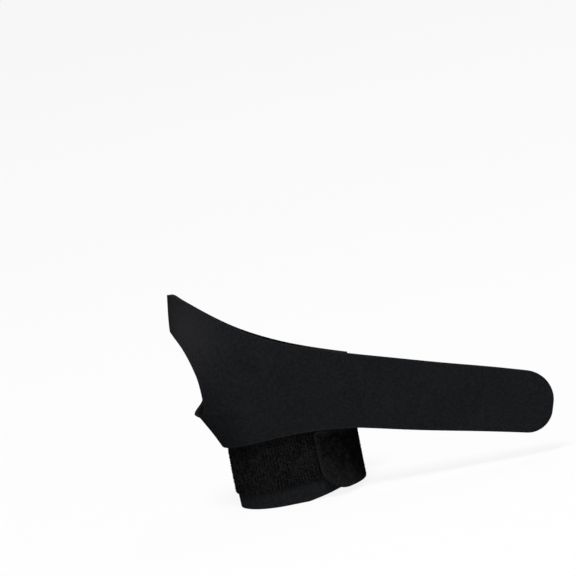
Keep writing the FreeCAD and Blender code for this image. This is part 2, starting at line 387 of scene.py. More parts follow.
@dataclass(frozen=True)
class LoopBand:
    """Ribbed loop pile round the cuff."""

    dark: Colour = (0.0019, 0.0019, 0.0020)
    light: Colour = (0.0108, 0.0108, 0.0112)
    rib: float = 1.3
    rung: float = 1.1
    drift_scale: float = 110.0
    curl_scale: float = 950.0
    tuft_scale: float = 700.0
    patch_scale: float = 160.0
    specular: float = 0.0

    def make(self) -> bpy.types.Material:
        """Build the material."""
        graph = Graph("loop pile")
        across, up = graph.weave()
        drift = graph.noise(self.drift_scale, 2.0) * 0.6
        rib = (across / self.rib + drift).wave()
        rung = (up / self.rung + drift * 4.0).wave()
        curl = graph.cells(self.curl_scale)
        tuft = graph.noise(self.tuft_scale, 4.0, 0.75)
        patch = graph.noise(self.patch_scale, 3.0, 0.7)
        pile = rib * rung * 0.3 + curl * 0.6 + rib * 0.1 + tuft * 0.6
        base = graph.tint(self.dark, self.light, pile * 1.8 + (patch - 0.5) * 1.2 - 0.85)
        normal = graph.relief(pile, 0.3, 0.8)
        return graph.cover(base, 0.92 + tuft * 0.06, normal, self.specular)


@dataclass(frozen=True)
class TabPile:
    """Short brushed loop pile of the closure tab, with painted shade darkening its upper part and sewn end."""

    dark: Colour = (0.0021, 0.0021, 0.0022)
    light: Colour = (0.0132, 0.0132, 0.0136)
    worn: Colour = (0.0148, 0.0148, 0.0152)
    tuft_scale: float = 850.0
    curl_scale: float = 1800.0
    nap_scale: float = 330.0
    specular: float = 0.0

    def make(self) -> bpy.types.Material:
        """Build the material."""
        graph = Graph("tab pile")
        tuft = graph.noise(self.tuft_scale, 4.0, 0.75)
        curl = graph.cells(self.curl_scale)
        nap = graph.noise(self.nap_scale, 3.0, 0.7)
        along, up = graph.weave()
        # Painted shade: the pile darkens towards its top under the hand wrap's edge and towards its sewn end,
        # and is lighter towards its free lower corner
        painted_shade_ramp = (along * 0.025 - up * 0.04 + 0.64).math("MAXIMUM", 0.0).math("MINIMUM", 0.6)
        shade = (tuft - 0.5) * 2.0 + curl * 0.4 + (nap - 0.5) * 1.4 + painted_shade_ramp - 0.08
        colour = graph.tint(self.dark, self.light, shade)
        colour = graph.tint(colour, self.worn, graph.rim() * tuft)
        normal = graph.relief(tuft * 0.6 + curl * 0.4, 0.22, 0.8, graph.relief(nap, 0.3, 0.4))
        return graph.cover(colour, 0.9 + nap * 0.08, normal, self.specular)


@dataclass(frozen=True)
class HookNylon:
    """Moulded nylon of the hook tape."""

    dark: Colour = (0.0055, 0.0055, 0.0058)
    light: Colour = (0.0125, 0.0125, 0.0130)
    grain_scale: float = 1400.0
    patch_scale: float = 130.0
    specular: float = 0.4

    def make(self) -> bpy.types.Material:
        """Build the material."""
        graph = Graph("hook nylon")
        grain = graph.noise(self.grain_scale, 3.0)
        patch = graph.noise(self.patch_scale, 3.0)
        base = graph.tint(self.dark, self.light, grain * 0.5 + patch * 0.6 - 0.1)
        return graph.cover(base, 0.36 + grain * 0.2, graph.relief(grain, 0.05, 0.5), self.specular)


@dataclass(frozen=True)
class Thread:
    """Twisted sewing thread."""

    dark: Colour = (0.0060, 0.0060, 0.0066)
    light: Colour = (0.0165, 0.0165, 0.0180)
    fuzz_scale: float = 4500.0
    specular: float = 0.25

    def make(self) -> bpy.types.Material:
        """Build the material."""
        graph = Graph("sewing thread")
        across, up = graph.weave()
        twist = (across * 3.0 + up * 5.0).wave()
        fuzz = graph.noise(self.fuzz_scale, 2.0)
        base = graph.tint(self.dark, self.light, twist * 0.6 + fuzz * 0.5 - 0.1)
        return graph.cover(base, 0.6 + fuzz * 0.2, graph.relief(twist, 0.05, 0.7), self.specular)


@dataclass(frozen=True)
class PaleFloor:
    """White floor that keeps a soft shadow."""

    white: float = 0.6
    glow: float = 0.86
    shine: float = 1.02
    grain_scale: float = 4.0

    def make(self) -> bpy.types.Material:
        """Build the material."""
        graph = Graph("pale floor")
        path = graph.node("ShaderNodeLightPath")
        seen = Value(graph, path.outputs["Is Camera Ray"])
        for ray in ("Is Glossy Ray", "Is Transmission Ray"):
            seen = seen.math("MAXIMUM", Value(graph, path.outputs[ray]))
        grain = graph.noise(self.grain_scale, 2.0)
        matt = graph.node("ShaderNodeBsdfDiffuse", inputs={
            "Color": graph.tint((self.white,) * 3, (self.white + 0.02,) * 3, grain)})
        bright = graph.node("ShaderNodeEmission", inputs={"Color": (1, 1, 1, 1), "Strength": self.shine})
        mix = graph.node("ShaderNodeMixShader", inputs={0: seen * self.glow})
        graph.tree.links.new(matt.outputs[0], mix.inputs[1])
        graph.tree.links.new(bright.outputs[0], mix.inputs[2])
        graph.tree.links.new(mix.outputs[0], graph.out.inputs[0])
        return graph.material


@dataclass
class Finishes:
    """All materials of the brace, made once."""

    face: bpy.types.Material = field(default_factory=lambda: FaceKnit().make())
    lining: bpy.types.Material = field(default_factory=lambda: LiningKnit().make())
    foam: bpy.types.Material = field(default_factory=lambda: FoamEdge().make())
    band: bpy.types.Material = field(default_factory=lambda: LoopBand().make())
    tab: bpy.types.Material = field(default_factory=lambda: TabPile().make())
    hook: bpy.types.Material = field(default_factory=lambda: HookNylon().make())
    thread: bpy.types.Material = field(default_factory=lambda: Thread().make())

    def ply(self, part: str) -> tuple[bpy.types.Material, Slot]:
        """Finish and slot of a ply of the smooth laminate."""
        return {"lining": (self.lining, Slot.LINING), "foam": (self.foam, Slot.FOAM),
                "face": (self.face, Slot.FACE)}[part]


# ---------------------------------------------------------------- forms

def smooth_through(stations: Sequence[float], values: Sequence[float], at: Array) -> Array:
    """Smooth curve through points, which never swings past them.

    Args:
        stations: Places of the points, rising.
        values: Their values.
        at: Places to read.

    Returns:
        Values there.
    """
    xs, ys = np.array(stations, float), np.array(values, float)
    gap, rise = np.diff(xs), np.diff(ys) / np.diff(xs)
    slope = np.concatenate([rise[:1], np.zeros(len(xs) - 2), rise[-1:]])
    for i in range(1, len(xs) - 1):
        if rise[i - 1] * rise[i] > 0:
            before, after = 2 * gap[i] + gap[i - 1], gap[i] + 2 * gap[i - 1]
            slope[i] = (before + after) / (before / rise[i - 1] + after / rise[i])
    at = np.clip(at, xs[0], xs[-1])
    i = np.clip(np.searchsorted(xs, at) - 1, 0, len(xs) - 2)
    h, t = gap[i], (at - xs[i]) / gap[i]
    return ((1 + 2 * t) * (1 - t) ** 2 * ys[i] + t * (1 - t) ** 2 * h * slope[i]
            + t * t * (3 - 2 * t) * ys[i + 1] + t * t * (t - 1) * h * slope[i + 1])


@dataclass
class Slack:
    """Gentle unevenness of worn cloth, the same for every piece at one place.

    A slow field of a few waves, so that pieces which lie on each other stay on each other, a
    slight curl of the free strap towards the back, and places where the cloth has given, each
    with its move and its reach.
    """

    depth: float = 0.22
    curl: float = 1.4
    curl_start: float = 42.0
    curl_run: float = 72.0
    waves: int = 9
    seed: int = 11
    stretch: float = 0.9
    stretch_run: float = 16.0
    periods: Pair = (26.0, 62.0)
    along: Point = (0.8, 1.0, 0.5)
    given: tuple[tuple[Point, Point, float], ...] = (
        ((-17.0, -21.4, 56.0), (0.0, -2.6, 0.0), 17.0),
        ((-40.0, -14.0, 100.0), (0.0, 3.4, 0.0), 22.0),
        ((-31.0, -20.0, 47.0), (0.0, 1.3, 0.0), 12.0),
        ((-27.5, -3.0, 4.0), (-0.8, 0.0, 0.0), 10.0),
        ((-28.0, -3.0, 20.0), (-0.4, 0.0, 0.0), 8.0),
        ((112.0, -21.4, 27.0), (0.9, 0.0, -0.7), 13.0),
        ((58.0, -21.4, 40.0), (0.0, 0.0, -0.35), 30.0),
        ((-12.0, -21.4, 80.0), (0.0, 0.0, -0.4), 20.0),
        ((60.0, -21.4, 34.0), (0.0, -0.7, 0.0), 13.0),
        ((92.0, -21.4, 24.0), (0.0, 0.5, 0.0), 12.0))

    def __post_init__(self) -> None:
        """Draw the waves."""
        rng = np.random.default_rng(self.seed)
        way = rng.normal(size=(self.waves, 3))
        way /= np.linalg.norm(way, axis=1, keepdims=True)
        self.way = way * (2 * math.pi / rng.uniform(*self.periods, (self.waves, 1)))
        self.phase = rng.uniform(0, 2 * math.pi, self.waves)
        self.push = rng.normal(size=(self.waves, 3)) * (self.depth / math.sqrt(self.waves))

    def settle(self, points: Array) -> Array:
        """Move points from the drawn shape to the worn one, in millimetres."""
        moved = points + np.sin(points @ self.way.T + self.phase) @ self.push * self.along
        out = np.clip((points[:, 0] - self.curl_start) / self.curl_run, 0, None)
        moved[:, 1] += self.curl * out ** 2
        for place, move, reach in self.given:
            near = np.exp(-((points - place) ** 2).sum(1) / (2 * reach ** 2))
            moved += near[:, None] * np.array(move)
        foot = np.clip(points[:, 2] / self.stretch_run, 0, 1)
        moved[:, 2] = points[:, 2] + (moved[:, 2] - points[:, 2] + self.stretch) * foot
        return moved


SLACK = Slack()


@dataclass
class Outline:
    """Front-view outline of the hand wrap and strap, in millimetres."""

    low: float = 27.2
    arch: Pair = (-5.0, 30.0)
    low_start: float = -28.93
    web_top: float = 100.3
    corner_x: float = -38.4
    corner: float = 1.9
    web_fall: float = math.radians(42.0)
    web_handle: float = 32.0
    strap_handle: float = 38.0
    root: Pair = (34.5, 42.4)
    fall: float = math.radians(15.3)
    half_taper: float = math.radians(1.72)
    width: float = 31.9
    length: float = 81.3
    tip: Pair = (13.0, 10.5)
    far: float = -90.0

    def __post_init__(self) -> None:
        """Work out both edges of the wrap as fine runs of points."""
        top, bottom = self.along(0, self.half(0)), self.along(0, -self.half(0))
        cos, sin = math.cos(self.web_fall), math.sin(self.web_fall)
        corner = np.array([self.corner_x, self.web_top])
        after = corner + self.corner * np.array([cos, -sin])
        before = corner - np.array([self.corner, 0])
        heading = np.array([math.cos(self.fall + self.half_taper), -math.sin(self.fall + self.half_taper)])
        t = np.linspace(0, 1, 160)[:, None]
        bend = (1 - t[::10]) ** 2 * before + 2 * t[::10] * (1 - t[::10]) * corner + t[::10] ** 2 * after
        second = after + self.web_handle * np.array([cos, -sin])
        third = top - self.strap_handle * heading
        curve = ((1 - t) ** 3 * after + 3 * t * (1 - t) ** 2 * second + 3 * t * t * (1 - t) * third
                 + t ** 3 * top)
        end = self.along(self.length, self.half(self.length))
        self.upper = np.vstack([[[self.far, self.web_top]], bend, curve[1:], [end]])
        start = np.array([self.low_start, self.low])
        arch = np.array(self.arch)
        x = np.linspace(start[0], bottom[0], 80)
        bow = self.round_edge(start, arch, bottom, x)
        end = self.along(self.length, -self.half(self.length))
        self.lower = np.vstack([[[self.far, self.low]], np.column_stack([x, bow]), [end]])

    @staticmethod
    def round_edge(a: Array, b: Array, c: Array, x: Array) -> Array:
        """Heights of the circular edge through three points.

        Args:
            a: First point.
            b: Second point.
            c: Third point.
            x: Places to read.

        Returns:
            Heights there.
        """
        system = np.array([[2 * p[0], 2 * p[1], 1] for p in (a, b, c)])
        centre_x, centre_z, rest = np.linalg.solve(system, [p @ p for p in (a, b, c)])
        radius = math.sqrt(rest + centre_x ** 2 + centre_z ** 2)
        return centre_z + np.sqrt(np.clip(radius ** 2 - (x - centre_x) ** 2, 0, None))

    def half(self, run: Any) -> Any:
        """Half the strap's width at a run."""
        return self.width / 2 - run * math.tan(self.half_taper)

    def along(self, run: Any, side: Any) -> Array:
        """Front-view point of the strap at a run and a distance above its centre line."""
        cos, sin = math.cos(self.fall), math.sin(self.fall)
        return np.stack([self.root[0] + run * cos + side * sin, self.root[1] - run * sin + side * cos], -1)

    def line_x(self, run: float, z: Array) -> Array:
        """x of the line across the strap at a run, at given heights."""
        side = (z - self.root[1] + run * math.sin(self.fall)) / math.cos(self.fall)
        return self.along(run, side)[..., 0]

    def top(self, x: Array) -> Array:
        """Height of the upper edge."""
        return np.interp(x, self.upper[:, 0], self.upper[:, 1])

    def bottom(self, x: Array) -> Array:
        """Height of the lower edge."""
        return np.interp(x, self.lower[:, 0], self.lower[:, 1])

    def run_end(self, side: Array, inset: float) -> Array:
        """How far the strap's free end reaches at distances above its centre line."""
        reach = self.length - inset
        end = np.full_like(side, reach)
        for radius, sign in ((self.tip[0] - inset, 1), (self.tip[1] - inset, -1)):
            rim = self.half(reach - radius * 0.5) - inset
            into = np.clip(side * sign - (rim - radius), 0, radius)
            end = np.minimum(end, reach - radius + np.sqrt(np.clip(radius ** 2 - into ** 2, 0, None)))
        return end


OUTLINE = Outline()


class Form:
    """A surface that a flat pattern is laid on."""

    def place(self, u: Array, z: Array, n: Array) -> Array:
        """Points of the form.

        Args:
            u: Place across the pattern.
            z: Height.
            n: Distance out of the middle of the laminate.

        Returns:
            Points in millimetres.
        """
        raise NotImplementedError

    def weave(self, u: Array, z: Array) -> Array:
        """Pattern coordinates for the cloth's weave."""
        return np.column_stack([u, z])


@dataclass
class HandForm(Form):
    """Hand wrap: flat palm, fold over the thumb web and panel on the back of the hand.

    u is the distance from the fold's side, positive over the palm.
    """

    mid: float = PALM_MID
    heights: tuple[float, ...] = (22.2, 39.5, 60.0, 80.0, 103.3)
    sides: tuple[Pair, ...] = (
        (-27.3, 22.2), (-32.7, 33.5), (-35.9, 39.5), (-37.3, 41.9), (-38.9, 43.2), (-40.1, 46.0),
        (-41.8, 60.0), (-42.0, 80.0), (-39.3, 103.3))
    folds: tuple[float, ...] = (PALM_MID, PALM_MID, 16.5, 9.5, 7.0)
    leans: tuple[float, ...] = (0.0, 0.0, 10.0, 20.0, 24.0)
    crests: tuple[float, ...] = (LITTLE_CENTRE, LITTLE_CENTRE, 5.0, 5.0, 5.0)
    crest_radii: tuple[float, ...] = (PALM_MID, PALM_MID, 30.0, 36.0, 40.0)
    ends: tuple[float, ...] = (25.64, 25.64, 31.0, 31.0, 31.0)
    back_drop: float = math.radians(10.0)
    hole: tuple[Pair, ...] = (
        (-40.6, 42.6), (-38.7, 43.2), (-37.4, 43.8), (-36.3, 44.4), (-35.5, 45.0), (-34.9, 45.8),
        (-34.5, 47.0), (-34.3, 49.0), (-34.22, 51.5), (-34.24, 54.5), (-34.36, 58.0), (-34.7, 61.9),
        (-35.5, 66.0), (-36.6, 70.4), (-38.4, 76.0), (-40.8, 81.2), (-42.6, 84.5))

    def section(self, z: Array) -> dict[str, Array]:
        """The form's section at given heights.

        Args:
            z: Heights.

        Returns:
            Fold and crest radii, centres, lean and runs of the back.
        """
        read = {name: smooth_through(self.heights, values, z) for name, values in (
            ("fold", self.folds), ("lean", self.leans), ("crest", self.crests),
            ("round", self.crest_radii), ("end", self.ends))}
        side = smooth_through([p[1] for p in self.sides], [p[0] for p in self.sides], z)
        lean = np.radians(read["lean"])
        fold, bow = read["fold"], read["round"]
        centre = np.stack([side + fold, fold - self.mid], -1)
        out = np.stack([-np.sin(lean), np.cos(lean)], -1)
        rise = np.stack([np.cos(lean), np.sin(lean)], -1)
        leave = centre + out * fold[:, None]
        straight = (read["crest"] - leave[:, 0]) / rise[:, 0]
        bow_centre = leave + rise * straight[:, None] - out * bow[:, None]
        turn = np.arcsin(np.clip((read["end"] - bow_centre[:, 0]) / bow, -1, 1))
        fold_run = fold * (math.pi / 2 - lean)
        return {"fold": fold, "lean": lean, "centre": centre, "out": out, "rise": rise, "leave": leave,
                "straight": straight, "bow": bow, "bow_centre": bow_centre, "fold_run": fold_run,
                "back": fold_run + straight + bow * (turn + lean)}

    def place(self, u: Array, z: Array, n: Array) -> Array:
        """Points of the hand's form."""
        s = self.section(z)
        fold, lean = s["fold"], s["lean"]
        phi = np.clip(math.pi / 2 - u / fold, 0, math.pi - lean)
        on_fold = s["centre"] + (fold + n)[:, None] * np.stack([-np.sin(phi), -np.cos(phi)], -1)
        palm = np.stack([s["centre"][:, 0] + u - fold * math.pi / 2, -self.mid - n], -1)
        t = -u - s["fold_run"]
        flat = s["leave"] + s["rise"] * t[:, None] + s["out"] * n[:, None]
        theta = -lean + (t - s["straight"]) / s["bow"]
        crest = s["bow_centre"] + (s["bow"] + n)[:, None] * np.stack([np.sin(theta), np.cos(theta)], -1)
        xy = np.where((u > fold * math.pi / 2)[:, None], palm, on_fold)
        xy = np.where((t > 0)[:, None], flat, xy)
        xy = np.where((t > s["straight"])[:, None], crest, xy)
        return np.column_stack([xy[:, 0], xy[:, 1], z])

    def weave(self, u: Array, z: Array) -> Array:
        """Pattern coordinates that run on into the strap."""
        s = self.section(z)
        return np.column_stack([u - s["fold"] * math.pi / 2 + s["centre"][:, 0], z])

    def hole_half(self, z: Array) -> Array:
        """Half the thumb hole's width round the fold, at given heights."""
        rim = smooth_through([p[1] for p in self.hole], [p[0] for p in self.hole], z)
        s = self.section(z)
        return s["fold"] * np.arccos(np.clip((s["centre"][:, 0] - rim) / s["fold"], -1, 1))


@dataclass
class StrapForm(Form):
    """Plane of the palm and strap, by front-view place."""

    mid: float = PALM_MID

    def place(self, u: Array, z: Array, n: Array) -> Array:
        """Points of the strap's plane."""
        return np.column_stack([u, -self.mid - n, z])


@dataclass
class CuffForm(Form):
    """Oval round the wrist; u runs from the back over the thumb side; n is a radius."""

    radius: float = 19.0
    thumb: float = THUMB_CENTRE
    little: float = LITTLE_CENTRE
    rim_rise: float = 2.7
    rim_start: float = 2.0
    rim_run: float = 15.0
    rim_back: float = 9.0

    @property
    def flat(self) -> float:
        """Length of a straight wall."""
        return self.little - self.thumb

    @property
    def around(self) -> float:
        """Whole way round."""
        return 2 * (math.pi * self.radius + self.flat)

    def place(self, u: Array, z: Array, n: Array) -> Array:
        """Points of the oval."""
        half = math.pi * self.radius
        first = np.clip(u, 0, half) / self.radius + math.pi / 2
        second = np.clip(u - half - self.flat, 0, half) / self.radius + 1.5 * math.pi
        front = np.clip(u - half, 0, self.flat)
        back = np.clip(u - 2 * half - self.flat, 0, self.flat)
        angle = np.where(u < half + self.flat, first, second)
        x = self.thumb + front - back + n * np.cos(angle)
        return np.column_stack([x, n * np.sin(angle), z])

    def rim(self, u: Array) -> Array:
        """Height of the lower rim: it rises under the tab and runs down again behind."""
        p = self.place(u, u * 0, u * 0 + self.radius)
        rise = self.rim_rise * np.clip((p[:, 0] - self.rim_start) / self.rim_run, 0, 1)
        behind = np.clip(1 - p[:, 1] / self.rim_back, 0, 1)
        return rise * np.where(p[:, 1] > 0, behind, 1)


@dataclass
class TabForm(Form):
    """Closure tab round the little-finger side; u is 0 at its fold and rises to the free end."""

    mid: float = 22.36
    draw_in: float = 0.88
    centre: float = LITTLE_CENTRE
    fold: float = math.radians(-45)

    def place(self, u: Array, z: Array, n: Array) -> Array:
        """Points of the tab."""
        free = self.fold - u / self.mid
        sewn = self.fold - u / (self.mid - self.draw_in)
        shift = self.draw_in * np.array([math.cos(self.fold), math.sin(self.fold)])
        x = np.where(u > 0, (self.mid + n) * np.cos(free),
                     shift[0] + (self.mid - self.draw_in + n) * np.cos(sewn))
        y = np.where(u > 0, (self.mid + n) * np.sin(free),
                     shift[1] + (self.mid - self.draw_in + n) * np.sin(sewn))
        return np.column_stack([self.centre + x, y, z])

    def reach(self, x: Array) -> Array:
        """u of the free end where it stands at a front-view x."""
        return (self.fold + np.arccos(np.clip((x - self.centre) / self.mid, -1, 1))) * self.mid


HAND, STRAP, CUFF, TAB = HandForm(), StrapForm(), CuffForm(), TabForm()


# ---------------------------------------------------------------- cloth

@dataclass(frozen=True)
class Ply:
    """One ply of a sheet: its depth, how far it stays inside the cut, and its rim."""

    part: str
    inner: float
    outer: float
    inset: float
    rim_round: float


FACE_PLIES = (Ply("lining", -0.83, -0.43, 0.04, 0.1), Ply("foam", -0.40, 0.40, 0.14, 0.0),
              Ply("face", 0.43, 0.83, 0.0, 0.12))


def coordinates(bm: bmesh.types.BMesh) -> Array:
    """All vertex places of a mesh."""
    return np.array([v.co for v in bm.verts], float).reshape(-1, 3)


def put(bm: bmesh.types.BMesh, points: Array) -> None:
    """Set all vertex places of a mesh."""
    for vertex, point in zip(bm.verts, points):
        vertex.co = point


def board(columns: int, rows: int) -> bmesh.types.BMesh:
    """Flat grid over the unit square from the origin.

    Args:
        columns: Faces across.
        rows: Faces up.

    Returns:
        The grid.
    """
    bm = bmesh.new()
    bmesh.ops.create_grid(bm, x_segments=columns, y_segments=rows, size=0.5)
    bmesh.ops.translate(bm, verts=bm.verts[:], vec=(0.5, 0.5, 0))
    return bm


def on_path(path: Array, share: Array) -> Array:
    """Points of a path at shares of its length.

    Args:
        path: Its corners.
        share: From 0 to 1.

    Returns:
        The points.
    """
    step = np.concatenate([[0], np.cumsum(np.linalg.norm(np.diff(path, axis=0), axis=1))])
    return np.column_stack([np.interp(share * step[-1], step, path[:, axis]) for axis in (0, 1)])


def corner_arc(centre: Pair, radius: float, start: float, end: float) -> Array:
    """Points round a corner.

    Args:
        centre: Of the corner's circle.
        radius: Its radius.
        start: First angle in degrees.
        end: Last angle.

    Returns:
        The points.
    """
    turn = np.radians(np.linspace(start, end, 40))
    return np.array(centre) + radius * np.column_stack([np.cos(turn), np.sin(turn)])


def stretch_between(lower: Array, upper: Array, last: Array, columns: int, rows: int) -> bmesh.types.BMesh:
    """Cloth pattern stretched between its edges, its first edge straight.

    Args:
        lower: Lower edge, from the first edge to the last.
        upper: Upper edge, the same way.
        last: Last edge, from the lower to the upper.
        columns: Faces from the first edge to the last.
        rows: Faces from the lower edge to the upper.

    Returns:
        Flat pattern.
    """
    bm = board(columns, rows)
    place = coordinates(bm)
    s, t = place[:, 0:1], place[:, 1:2]
    first = np.array([lower[0], upper[0]])
    flat = ((1 - t) * on_path(lower, place[:, 0]) + t * on_path(upper, place[:, 0])
            + (1 - s) * on_path(first, place[:, 1]) + s * on_path(last, place[:, 1])
            - (1 - s) * ((1 - t) * lower[0] + t * upper[0]) - s * ((1 - t) * lower[-1] + t * upper[-1]))
    put(bm, np.column_stack([flat, flat[:, 0] * 0]))
    return bm


def support_rims(bm: bmesh.types.BMesh, width: float, open_edge: Optional[Callable[[Vector], bool]] = None,
                 fade: float = 0.4) -> float:
    """Lay a narrow band of faces along a flat pattern's rim and mark the rim.

    Args:
        bm: Flat pattern.
        width: Band's width.
        open_edge: Says where the cloth runs on into another piece.
        fade: How far in from the rim its mark fades out.

    Returns:
        The pattern's area in square metres.
    """
    bmesh.ops.inset_region(bm, faces=bm.faces[:], thickness=width, use_boundary=True, use_even_offset=True)
    layer = bm.verts.layers.float.new("rim")
    cut = np.array([v.co[0:2] for v in bm.verts if v.is_boundary and not (open_edge and open_edge(v.co))])
    for vertex in bm.verts:
        away = np.min(np.hypot(cut[:, 0] - vertex.co.x, cut[:, 1] - vertex.co.y))
        vertex[layer] = max(0.0, 1.0 - float(away) / fade)
    return sum(face.calc_area() for face in bm.faces) * MM * MM


def thicken(bm: bmesh.types.BMesh, ply: Ply, open_edge: Optional[Callable[[Vector], bool]] = None) -> None:
    """Give a flat pattern a ply's thickness and round its rims.

    Args:
        bm: Flat pattern at height zero.
        ply: The ply.
        open_edge: Says where the cloth runs on into another piece, so its edge stays square.
    """
    bmesh.ops.recalc_face_normals(bm, faces=bm.faces[:])
    if bm.faces[:][0].normal.z < 0:
        bmesh.ops.reverse_faces(bm, faces=bm.faces[:])
    bmesh.ops.solidify(bm, geom=bm.faces[:], thickness=ply.outer - ply.inner)
    low = min(v.co.z for v in bm.verts)
    bmesh.ops.translate(bm, verts=bm.verts[:], vec=(0, 0, ply.inner - low))
    bmesh.ops.recalc_face_normals(bm, faces=bm.faces[:])
    if ply.rim_round:
        rims = [edge for edge in bm.edges if edge.is_manifold and edge.calc_face_angle(0) > 1.0
                and abs(edge.verts[0].co.z - edge.verts[1].co.z) < 0.01
                and not (open_edge and all(open_edge(v.co) for v in edge.verts))]
        bmesh.ops.bevel(bm, geom=rims, offset=ply.rim_round, offset_type="OFFSET", segments=2, profile=0.5,
                        affect="EDGES", clamp_overlap=True, material=-1)


def laid(bm: bmesh.types.BMesh, form: Form, name: str, weld: bool = False) -> bpy.types.Object:
    """Lay a pattern on its form and make it an object.

    Args:
        bm: Pattern; freed here.
        form: What it lies on.
        name: Piece name.
        weld: Whether its two ends meet and are joined.

    Returns:
        The piece, at the origin, in metres.
    """
    flat = coordinates(bm)
    weave = bm.verts.layers.float_vector.new("weave")
    for vertex, place in zip(bm.verts, form.weave(flat[:, 0], flat[:, 1])):
        vertex[weave] = (place[0], place[1], 0)
    uv = bm.loops.layers.uv.new("UVMap")
    for face in bm.faces:
        face.smooth = True
        for loop in face.loops:
            loop[uv].uv = loop.vert[weave][0:2]
    bm.verts.layers.float_vector.remove(bm.verts.layers.float_vector["weave"])
    put(bm, SLACK.settle(form.place(flat[:, 0], flat[:, 1], flat[:, 2])) * MM)
    if weld:
        bmesh.ops.remove_doubles(bm, verts=bm.verts[:], dist=2e-7)
    bmesh.ops.recalc_face_normals(bm, faces=bm.faces[:])
    mesh = bpy.data.meshes.new(name)
    bm.to_mesh(mesh)
    bm.free()
    mesh.set_sharp_from_angle(angle=math.radians(55))
    piece = bpy.data.objects.new(name, mesh)
    bpy.context.scene.collection.objects.link(piece)
    return piece


def dress(piece: bpy.types.Object, material: bpy.types.Material, slot: Slot, *nodes: str) -> bpy.types.Object:
    """Give a piece its finish and hide the solids that it stands for."""
    piece.data.materials.append(material)
    if nodes:
        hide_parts(*nodes)
    LOG.info("%s: %d faces", piece.name, len(piece.data.polygons))
    return piece


def copies(proto: bmesh.types.BMesh, count: int) -> Array:
    """Repeat all geometry of a mesh in place.

    Args:
        proto: Mesh of one shape; it becomes the whole set.
        count: Number of shapes wanted.

    Returns:
        Vertex places as (shape, vertex, axis).
    """
    one = len(proto.verts)
    while len(proto.verts) < one * count:
        left = one * count - len(proto.verts)
        proto.verts.ensure_lookup_table()
        if left >= len(proto.verts):
            geom = proto.verts[:] + proto.edges[:] + proto.faces[:]
        else:
            kept = set(proto.verts[:left])
            geom = list(kept) + [e for e in proto.edges if e.verts[0] in kept]
            geom += [f for f in proto.faces if f.verts[0] in kept]
        bmesh.ops.duplicate(proto, geom=geom)
    return coordinates(proto).reshape(count, one, 3)


def curl(width: float, height: float, thick: float, steps: int) -> bmesh.types.BMesh:
    """One loop of pile: a thin half ring that stands on the cloth.

    Args:
        width: Between its feet.
        height: Of its crown.
        thick: Of the yarn.
        steps: Segments of the half ring.

    Returns:
        The loop, with its feet on z = 0.
    """
    bm = bmesh.new()
    bmesh.ops.create_circle(bm, segments=3, radius=thick / 2, cap_ends=False)
    bmesh.ops.translate(bm, verts=bm.verts[:], vec=(width / 2, 0, 0))
    bmesh.ops.spin(bm, geom=bm.verts[:] + bm.edges[:], cent=(0, 0, 0), axis=(0, -1, 0), angle=math.pi,
                   steps=steps, use_merge=False)
    bmesh.ops.scale(bm, verts=bm.verts[:], vec=(1, 1, 2 * height / width))
    bmesh.ops.recalc_face_normals(bm, faces=bm.faces[:])
    return bm


def strewn(proto: bmesh.types.BMesh, places: Array, form: Form, name: str, seed: int, lean: float,
           size: Pair = (0.75, 1.2)) -> bpy.types.Object:
    """Stand copies of a small shape on a form.

    Args:
        proto: The shape.
        places: One row (u, height, depth, heading) for each copy.
        form: What they stand on.
        name: Piece name.
        seed: Of the small differences.
        lean: How far the crowns lean, as a share of their height.
        size: Least and most size of a copy.

    Returns:
        The piece.
    """
    rng = np.random.default_rng(seed)
    count = len(places)
    shapes = copies(proto, count)
    scale = rng.uniform(*size, (count, 1, 1))
    local = shapes * scale
    local[..., 0:2] += local[..., 2:3] * rng.normal(size=(count, 1, 2)) * lean
    cos, sin = np.cos(places[:, 3])[:, None], np.sin(places[:, 3])[:, None]
    u = places[:, 0:1] + local[..., 0] * cos - local[..., 1] * sin
    z = places[:, 1:2] + local[..., 0] * sin + local[..., 1] * cos
    put(proto, np.stack([u, z, places[:, 2:3] + local[..., 2]], -1).reshape(-1, 3))
    return laid(proto, form, name)


# ---------------------------------------------------------------- hand wrap and strap

def strap_run(x: Array, z: Array) -> Array:
    """Run of front-view points along the strap."""
    return (x - OUTLINE.root[0]) * math.cos(OUTLINE.fall) - (z - OUTLINE.root[1]) * math.sin(OUTLINE.fall)


def hinge(run: float) -> Point:
    """Point of the strap's centre line, in metres."""
    x, z = OUTLINE.along(run, 0.0)
    return (x * MM, -HAND.mid * MM, z * MM)


